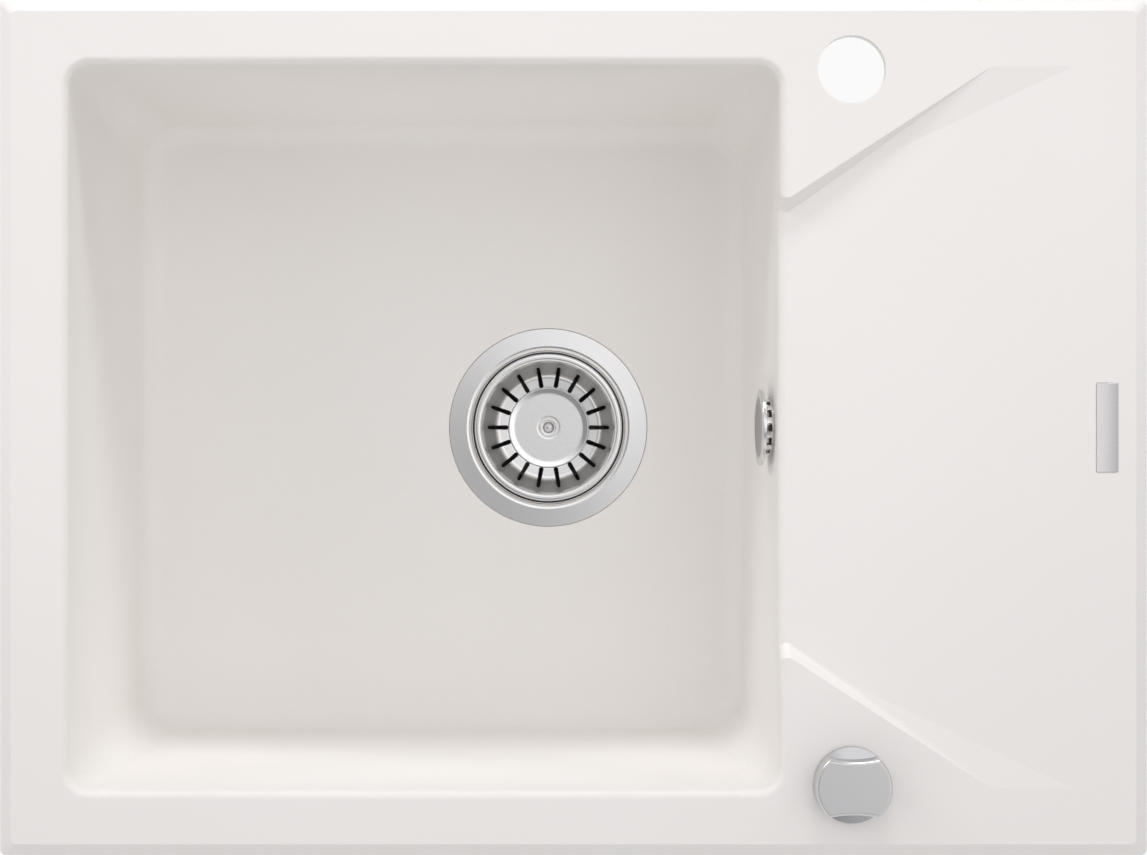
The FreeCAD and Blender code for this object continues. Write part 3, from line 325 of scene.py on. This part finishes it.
cast_basin = shaded("cast_basin", *welded("basin"), granite, crease_limit)
even = cast_basin.modifiers.new("even_normals", "WEIGHTED_NORMAL")
even.keep_sharp = True
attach(cast_basin, "sink")
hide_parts("basin")

# Trim plate: a bare strip of pale anodised metal, slightly dished across and brushed along its length.
# It is glued into a shallow pocket in the deck beyond the drainer.
plate_low, plate_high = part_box("trim_plate")
plate_middle = (plate_low[0] + plate_high[0]) / 2
plate_half = (plate_high[0] - plate_low[0]) / 2
dish_depth = 0.0003
stroke_scale = (9000.0, 260.0, 4000.0)
plate_metal, start = blank_finish("brushed_plate")
place = start.add("ShaderNodeTexCoord", None, None, "Object")
across = (start.add("ShaderNodeSeparateXYZ", None, {0: place}) - plate_middle) * (1 / plate_half)
strokes = start.add("ShaderNodeMapping", None, {"Vector": place, "Scale": stroke_scale})
hairs = start.add("ShaderNodeTexNoise", None, {"Vector": strokes, "Scale": 1.0, "Detail": 2.0})
plate_colour = start.add("ShaderNodeValToRGB", {"stops": [
    (0.3, (0.590, 0.575, 0.580)),
    (0.7, (0.635, 0.620, 0.625)),
]}, {0: hairs})
scratches = start.add("ShaderNodeBump", None, {"Strength": 0.05, "Distance": 0.0001, "Height": hairs})
dished = start.add("ShaderNodeBump", None, {
    "Strength": 1.0,
    "Distance": dish_depth,
    "Height": across * across,
    "Normal": scratches,
})
plate = start.add("ShaderNodeBsdfPrincipled", None, {
    "Base Color": plate_colour,
    "Metallic": 1.0,
    "Roughness": 0.20 + hairs * 0.12,
    "Normal": dished,
})
start.add("ShaderNodeOutputMaterial", None, {"Surface": plate})
dress(plate_metal, "trim_plate")

# Seals: black rubber rings under the flange, the basket's rim, the waste body, the knob
# and the overflow. They are moulded with a dull skin and squeezed between harder pieces.


def moulded(name, dark, light, roughness, dimple_size):
    """A moulded skin: two close colours by slow flow marks, and fine dimples of one size."""
    finish, start = blank_finish(name)
    place = start.add("ShaderNodeTexCoord", None, None, "Object")
    skin = start.add("ShaderNodeTexNoise", None, {"Vector": place, "Scale": 1 / dimple_size, "Detail": 1.0})
    flow = start.add("ShaderNodeTexNoise", None, {"Vector": place, "Scale": 30.0, "Detail": 3.0})
    stops = [(0.35, dark), (0.65, light)]
    colour = start.add("ShaderNodeValToRGB", {"stops": stops}, {0: flow * 0.8 + skin * 0.2})
    dimples = start.add("ShaderNodeBump", None, {"Strength": 0.15, "Distance": 0.0002, "Height": skin})
    surface = start.add("ShaderNodeBsdfPrincipled", None, {
        "Base Color": colour,
        "Roughness": roughness + skin * 0.12,
        "IOR": 1.5,
        "Normal": dimples,
    })
    start.add("ShaderNodeOutputMaterial", None, {"Surface": surface})
    return finish


rubber = moulded("seal_rubber", (0.045, 0.045, 0.045), (0.065, 0.064, 0.063), 0.62, 0.0008)
dress(rubber, "flange_seal", "basket_seal", "body_gasket", "knob_gasket", "overflow_gasket")

# Strainer flange: pressed from stainless sheet, its sloping ring bead-blasted to a satin and
# its rolled lip polished. The cup below is left dull from the press, and its near-black colour is painted
# shade.
# A hollow screw pulls it down on its seal.


def turned(start, centre_x):
    """Place, and radius, angle and height of a point about an upright axis at centre_x."""
    place = start.add("ShaderNodeTexCoord", None, None, "Object")
    parts = start.add("ShaderNodeSeparateXYZ", None, {0: place})
    across = parts - centre_x
    along = parts.side("Y")
    radius = start.math("SQRT", across * across + along * along)
    return place, radius, start.math("ARCTAN2", along, across), parts.side("Z")


flange_low, flange_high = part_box("strainer_flange")
drain_x = (flange_low[0] + flange_high[0]) / 2
blast_start, blast_full = 0.0462, 0.0472
cup_start = flange_high[2] - 0.014
cup_full = flange_high[2] - 0.024
ring_steel, start = blank_finish("blasted_flange_steel")
place, radius, _, height = turned(start, drain_x)
flat_ring = ramped(start, radius, blast_start, blast_full)
dull_shaded_cup = 1 - ramped(start, height, cup_full, cup_start)
beads = start.add("ShaderNodeTexNoise", None, {"Vector": place, "Scale": 4200.0, "Detail": 2.0})
# Painted shade: the cup down in the drain takes the last, near-black stop.
ring_colour = start.add("ShaderNodeValToRGB", {"stops": [
    (0.0, (0.82, 0.82, 0.82)),
    (0.5, (0.76, 0.76, 0.76)),
    (1.0, (0.10, 0.10, 0.10)),
]}, {0: beads * 0.4 + dull_shaded_cup})
dents = start.add("ShaderNodeBump", None, {
    "Strength": 0.12,
    "Distance": 0.0001,
    "Height": beads * flat_ring,
})
flange_steel = start.add("ShaderNodeBsdfPrincipled", None, {
    "Base Color": ring_colour,
    "Metallic": 1.0,
    "Roughness": 0.12 + flat_ring * (0.16 + beads * 0.08) + dull_shaded_cup * 0.45,
    "Normal": dents,
})
start.add("ShaderNodeOutputMaterial", None, {"Surface": flange_steel})
dress(ring_steel, "strainer_flange")

# Strainer basket: drawn from thin stainless sheet and slotted, polished round its rim
# and left satin on its floor, with faint rings from drawing. Its steep wall is coloured dark grey as
# painted shade. It lifts out by hand.
wall_start, wall_full = 0.0302, 0.0322
rim_start, rim_full = 0.0372, 0.0384
edge_start, edge_full = 0.0198, 0.0204
edge_fade, edge_end = 0.0236, 0.0242
ring_scale, turn_scale = 2500.0, 4.0
basket_steel, start = blank_finish("drawn_basket_steel")
_, radius, angle, _ = turned(start, drain_x)
rings = start.add("ShaderNodeCombineXYZ", None, {0: radius * ring_scale, 1: angle * turn_scale})
drawn = start.add("ShaderNodeTexNoise", None, {"Vector": rings, "Scale": 1.0, "Detail": 2.0})
rim_band = ramped(start, radius, rim_start, rim_full)
dull_shaded_wall = ramped(start, radius, wall_start, wall_full) - rim_band
disc_edge = ramped(start, radius, edge_start, edge_full) - ramped(start, radius, edge_fade, edge_end)
# Painted shade: the steep wall between floor and rim takes the last, dark grey stop.
basket_colour = start.add("ShaderNodeValToRGB", {"stops": [
    (0.0, (0.80, 0.80, 0.795)),
    (0.2, (0.84, 0.84, 0.835)),
    (1.0, (0.34, 0.34, 0.335)),
]}, {0: drawn * 0.2 + dull_shaded_wall * 0.8})
lines = start.add("ShaderNodeBump", None, {"Strength": 0.02, "Distance": 0.00005, "Height": drawn})
sheet_steel = start.add("ShaderNodeBsdfPrincipled", None, {
    "Base Color": basket_colour,
    "Metallic": 1.0,
    "Roughness": 0.24 + drawn * 0.05 - rim_band * 0.14 + dull_shaded_wall * 0.16 - disc_edge * 0.14,
    "Normal": lines,
})
start.add("ShaderNodeOutputMaterial", None, {"Surface": sheet_steel})


def rounded_line(corners, spacing):
    """Even points along a bent line of (across, up, reach) corners.

    A parabola rounds each inner corner. It leaves the line at reach before the corner and joins it again
    at reach after.
    """
    spots, reach = np.array(corners)[:, :2], np.array(corners)[1:-1, 2:]
    steps = np.diff(spots, axis=0)
    ways = steps / np.linalg.norm(steps, axis=1, keepdims=True)
    points_a_bend = 9
    share = np.linspace(0, 1, points_a_bend)[:, None, None]
    bends = spots[1:-1] + reach * (share ** 2 * ways[1:] - (1 - share) ** 2 * ways[:-1])
    line = np.concatenate([spots[:1], bends.swapaxes(0, 1).reshape(-1, 2), spots[-1:]])
    run = np.concatenate([[0], np.cumsum(np.linalg.norm(np.diff(line, axis=0), axis=1))])
    even = np.linspace(0, run[-1], int(run[-1] / spacing))
    return np.stack([np.interp(even, run, line[:, 0]), np.interp(even, run, line[:, 1])], axis=1)


def slotted_sheet(line, thick, slots, slot_ends, slot_widths):
    """A sheet of revolution with tapered slots: its points as rows of angles, and its faces.

    The line gives the upper side's radius and height. The lower side lies thick below it, square to the
    line's way, which is averaged over a few points. In each slot's sector the first columns span the slot,
    whose half angle is its half width over the radius, and the others share the rest. The slot's half width
    falls as a circle's does towards its two round ends. The faces inside a slot are left out, and walls
    close it.
    """
    across, between = 5, 5
    reach = 3
    roundest = 0.95
    padded = np.pad(np.gradient(line, axis=0), ((reach, reach), (0, 0)), mode="edge")
    way = np.lib.stride_tricks.sliding_window_view(padded, 2 * reach + 1, axis=0).mean(axis=-1)
    way /= np.linalg.norm(way, axis=1, keepdims=True)
    under = line + thick * np.stack([way[:, 1], -way[:, 0]], axis=1)
    radius = line[:, 0]
    inner_end, outer_end = slot_ends
    inner_round, outer_round = slot_widths[0] / 2, slot_widths[1] / 2
    half_width = np.interp(radius, slot_ends, slot_widths) / 2
    inner_past = (inner_end + inner_round - radius) / inner_round
    outer_past = (radius - outer_end + outer_round) / outer_round
    round_share = np.sqrt(1 - np.clip(np.maximum(inner_past, outer_past), 0, roundest) ** 2)
    half = (half_width * round_share / np.maximum(radius, inner_end))[:, None]
    sector = 2 * np.pi / slots
    in_slot = half * np.linspace(-1, 1, across)
    beside = half + (sector - 2 * half) * np.linspace(0, 1, between + 1)[1:-1]
    one = np.concatenate([in_slot, beside], axis=1)
    angle = (one[:, None, :] + sector * np.arange(slots)[:, None]).reshape(len(line), -1)
    angle = np.concatenate([angle, angle[::-1]])
    spread, rise = np.split(np.concatenate([line, under[::-1]]), 2, axis=1)
    points = np.stack([spread * np.cos(angle), spread * np.sin(angle), rise + 0 * angle], axis=-1)
    rows, columns = angle.shape
    row, column = np.meshgrid(np.arange(rows), np.arange(columns), indexing="ij")
    next_row, next_column = (row + 1) % rows, (column + 1) % columns
    ring = [(row, column), (next_row, column), (next_row, next_column), (row, next_column)]
    quads = np.stack([r * columns + c for r, c in ring], axis=-1)
    level = np.flatnonzero((radius > inner_end) & (radius < outer_end))
    first, last = level[0], level[-1]
    sector_columns = across + between - 1
    opened = np.minimum(row, rows - 2 - row)
    kept = (opened < first) | (opened >= last) | (column % sector_columns >= across - 1)
    up = np.arange(first, last)
    over = np.arange(across - 1)
    ones_over, ones_up = np.ones_like(over), np.ones_like(up)
    edge_row = np.concatenate([ones_over * first, up, ones_over * last, up[::-1] + 1])
    edge_column = np.concatenate([over, ones_up * (across - 1), over[::-1] + 1, ones_up * 0])
    edge_columns = np.arange(slots)[:, None] * sector_columns + edge_column
    here = edge_row * columns + edge_columns
    below = (rows - 1 - edge_row) * columns + edge_columns
    there, below_there = np.roll(here, -1, axis=1), np.roll(below, -1, axis=1)
    walls = np.stack([there, here, below, below_there], axis=-1).reshape(-1, 4)
    return points.reshape(-1, 3), np.concatenate([quads[kept], walls])


# Basket's upper side from the screw's hole to the rim's rolled edge: radius, depth under the rim's top
# and how far each corner is rounded, in millimetres.
basket_corners = [
    (2.1, -25.7, 0),
    (4.2, -25.7, 0.3),
    (6.4, -24.8, 0.6),
    (20.2, -24.8, 0.8),
    (23.2, -24.2, 0.2),
    (23.7, -23.4, 0.3),
    (30.9, -23.1, 2.4),
    (37.4, -6.0, 2.0),
    (38.4, -0.2, 1.8),
    (42.9, -0.2, 1.8),
    (43.0, -2.2, 0),
]
line_spacing = 0.3
sheet_thick = 0.0008
slot_count = 18
slot_ends = (0.0235, 0.0354)
slot_widths = (0.0028, 0.0020)
sheared_edge = np.radians(40)
basket_line = rounded_line(basket_corners, line_spacing) / 1000
basket_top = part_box("strainer_basket")[1][2]
basket_points, basket_faces = slotted_sheet(basket_line, sheet_thick, slot_count, slot_ends, slot_widths)
basket_points += np.array([drain_x, 0, basket_top])
drawn_basket = shaded(
    "drawn_basket",
    basket_points,
    basket_faces,
    basket_steel,
    lambda middle: sheared_edge,
)
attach(drawn_basket, "basket")
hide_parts("strainer_basket")

# Screws, washer and knob shaft: turned stainless bar, bright from the lathe.
# They hold the basket's socket, the flange, the knob and the two case covers.
bright_steel, start = blank_finish("turned_steel")
place = start.add("ShaderNodeTexCoord", None, None, "Object")
marks = start.add("ShaderNodeTexNoise", None, {"Vector": place, "Scale": 2600.0, "Detail": 2.0})
bar_colour = start.add("ShaderNodeValToRGB", {"stops": [
    (0.3, (0.66, 0.66, 0.66)),
    (0.7, (0.76, 0.76, 0.755)),
]}, {0: marks})
bar = start.add("ShaderNodeBsdfPrincipled", None, {
    "Base Color": bar_colour,
    "Metallic": 1.0,
    "Roughness": 0.16 + marks * 0.12,
})
start.add("ShaderNodeOutputMaterial", None, {"Surface": bar})
dress(bright_steel, "basket_screw", "clamp_screw", "knob_shaft", "knob_washer")
dress(bright_steel, "pulley_cover_screws", "drum_cover_screws")

# Lift: the basket's guide socket, the pin, the rocker, the two wheels and the cable glands.
# They are black acetal, moulded smooth so that they slide without grease.
acetal = moulded("black_acetal", (0.040, 0.040, 0.042), (0.055, 0.055, 0.057), 0.30, 0.0004)
dress(acetal, "basket_socket", "lift_pin", "lift_rocker", "rocker_pulley", "pulley_gland")
dress(acetal, "knob_drum", "drum_gland")

# Waste body, outlet tail and overflow: white polypropylene mouldings with a matt skin.
# The tail carries a round-rooted pipe thread for the trap's nut.
polypropylene = moulded("white_polypropylene", (0.80, 0.80, 0.78), (0.86, 0.86, 0.845), 0.36, 0.00045)
dress(polypropylene, "waste_body", "outlet_tail", "overflow_elbow", "overflow_pipe")


def thread_sleeve(name, centre, radius, low, high, pitch, crest):
    """A closed sleeve whose outside winds as a thread.

    The outside's radius is radius + crest * fade * (1 - cos(2 pi (rise / pitch - angle))) / 2, with the
    angle in turns. The fade falls to nothing over the first and last turn, and the inside is
    a plain cylinder half a crest below the surface that carries it.
    """
    columns = 96
    rows_a_turn = 14
    rows = int((high - low) / pitch * rows_a_turn)
    turn = np.arange(columns) / columns
    rise = np.linspace(0, high - low, rows)[:, None]
    fade = np.clip(np.minimum(rise, high - low - rise) / pitch, 0, 1)
    outside = radius + crest * fade * (1 - np.cos(2 * np.pi * (rise / pitch - turn))) / 2
    inside = np.full_like(outside, radius - crest / 2)
    spread = np.concatenate([outside, inside[::-1]])
    level = low + np.concatenate([rise, rise[::-1]]) + np.zeros(columns)
    around = 2 * np.pi * turn
    x = centre[0] + spread * np.cos(around)
    y = centre[1] + spread * np.sin(around)
    points = np.stack([x, y, level], axis=-1)
    row, column = np.meshgrid(np.arange(2 * rows), np.arange(columns), indexing="ij")
    next_row, next_column = (row + 1) % (2 * rows), (column + 1) % columns
    ring = [(row, column), (row, next_column), (next_row, next_column), (next_row, column)]
    quads = np.stack([r * columns + c for r, c in ring], axis=-1).reshape(-1, 4)
    mesh = bpy.data.meshes.new(name)
    mesh.from_pydata(points.reshape(-1, 3), [], quads.tolist())
    mesh.polygons.foreach_set("use_smooth", np.ones(len(quads), dtype=bool))
    piece = bpy.data.objects.new(name, mesh)
    bpy.context.collection.objects.link(piece)
    return piece


tail_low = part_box("outlet_tail")[0][2]
outlet_thread = thread_sleeve(
    "outlet_thread",
    centre=(drain_x, 0),
    radius=0.0239,
    low=tail_low + 0.0008,
    high=tail_low + 0.0212,
    pitch=0.0023,
    crest=0.0007,
)
outlet_thread.data.materials.append(polypropylene)
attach(outlet_thread, "sink")

# Cases, covers, bush and nuts: grey glass-filled nylon, moulded with a grained skin.
# The bush is threaded below the deck, where its back nut pulls it tight.
nylon = moulded("grey_nylon", (0.29, 0.29, 0.30), (0.34, 0.34, 0.35), 0.38, 0.0005)
dress(nylon, "pulley_housing", "pulley_cover", "drum_housing", "drum_cover")
dress(nylon, "knob_bush", "knob_nut", "overflow_nuts")
bush_low, bush_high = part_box("knob_bush")
bush_spot = ((bush_low[0] + bush_high[0]) / 2, (bush_low[1] + bush_high[1]) / 2)
nut_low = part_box("knob_nut")[0][2]
bush_thread = thread_sleeve(
    "bush_thread",
    centre=bush_spot,
    radius=0.0144,
    low=bush_low[2] + 0.0008,
    high=nut_low - 0.0006,
    pitch=0.0015,
    crest=0.0006,
)
bush_thread.data.materials.append(nylon)
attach(bush_thread, "sink")

# Control knob: a zinc casting with a satin nickel plate, its bar's rounded edge buffed bright.
# It is pressed on the shaft that comes up through the deck, and turned by the bar.
knob_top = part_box("control_knob")[1][2]
edge_round = 0.0014
flat_blend = 0.0001
ledge_top = knob_top - 0.0100
satin_nickel, start = blank_finish("satin_nickel")
place = start.add("ShaderNodeTexCoord", None, None, "Object")
height = start.add("ShaderNodeSeparateXYZ", None, {0: place}, "Z")
above_side = ramped(start, height, knob_top - edge_round, knob_top - 0.9 * edge_round)
on_edge = above_side - ramped(start, height, knob_top - flat_blend, knob_top - flat_blend / 2)
frost = start.add("ShaderNodeTexNoise", None, {"Vector": place, "Scale": 3000.0, "Detail": 2.0})
# Painted shade: the ledges below the bar are coloured darker than the bar.
bar_over_shaded_ledges = ramped(start, height, ledge_top, ledge_top + edge_round)
nickel_colour = start.add("ShaderNodeValToRGB", {"stops": [
    (0.1, (0.50, 0.50, 0.505)),
    (0.4, (0.56, 0.56, 0.565)),
    (0.6, (0.66, 0.66, 0.665)),
    (0.9, (0.72, 0.72, 0.72)),
]}, {0: frost * 0.5 + bar_over_shaded_ledges * 0.5})
frosted = start.add("ShaderNodeBump", None, {"Strength": 0.06, "Distance": 0.0001, "Height": frost})
plated = start.add("ShaderNodeBsdfPrincipled", None, {
    "Base Color": nickel_colour,
    "Metallic": 1.0,
    "Roughness": 0.14 + frost * 0.08 + bar_over_shaded_ledges * 0.07 - on_edge * 0.15,
    "Normal": frosted,
})
start.add("ShaderNodeOutputMaterial", None, {"Surface": plated})
dress(satin_nickel, "control_knob")

# Overflow cap and its slotted collar: plated like the knob, polished bright round the edge.
# The cap's dished middle is brushed dull and coloured dark, mottled grey as a painted reflection. Its stud
# holds both against the bowl's right wall.
cap_low, cap_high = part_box("overflow_cap")
cap_z = (cap_low[2] + cap_high[2]) / 2
cap_edge_start, cap_edge_full = 0.0157, 0.0165
bright_nickel, start = blank_finish("bright_nickel")
place = start.add("ShaderNodeTexCoord", None, None, "Object")
parts = start.add("ShaderNodeSeparateXYZ", None, {0: place})
along, height = parts.side("Y"), parts.side("Z") - cap_z
from_axis = start.math("SQRT", along * along + height * height)
edge_polish_and_painted_reflection = ramped(start, from_axis, cap_edge_start, cap_edge_full)
haze = start.add("ShaderNodeTexNoise", None, {"Vector": place, "Scale": 700.0, "Detail": 2.0})
# Painted reflection: the cap's dished middle is coloured dark, mottled grey, and its polished edge light.
cap_colour = start.add("ShaderNodeValToRGB", {"stops": [
    (0.0, (0.36, 0.36, 0.355)),
    (0.3, (0.46, 0.46, 0.455)),
    (1.0, (0.80, 0.80, 0.79)),
]}, {0: haze * 0.3 + edge_polish_and_painted_reflection * 0.7})
cap_plate = start.add("ShaderNodeBsdfPrincipled", None, {
    "Base Color": cap_colour,
    "Metallic": 1.0,
    "Roughness": 0.30 - edge_polish_and_painted_reflection * 0.16 + haze * 0.06,
})
start.add("ShaderNodeOutputMaterial", None, {"Surface": cap_plate})
dress(bright_nickel, "overflow_cap")
collar_nickel, start = blank_finish("collar_nickel")
place = start.add("ShaderNodeTexCoord", None, None, "Object")
haze = start.add("ShaderNodeTexNoise", None, {"Vector": place, "Scale": 900.0, "Detail": 2.0})
collar_colour = start.add("ShaderNodeValToRGB", {"stops": [
    (0.3, (0.66, 0.66, 0.65)),
    (0.7, (0.74, 0.74, 0.73)),
]}, {0: haze})
collar_plate = start.add("ShaderNodeBsdfPrincipled", None, {
    "Base Color": collar_colour,
    "Metallic": 1.0,
    "Roughness": 0.12 + haze * 0.08,
})
start.add("ShaderNodeOutputMaterial", None, {"Surface": collar_plate})
dress(collar_nickel, "overflow_collar")
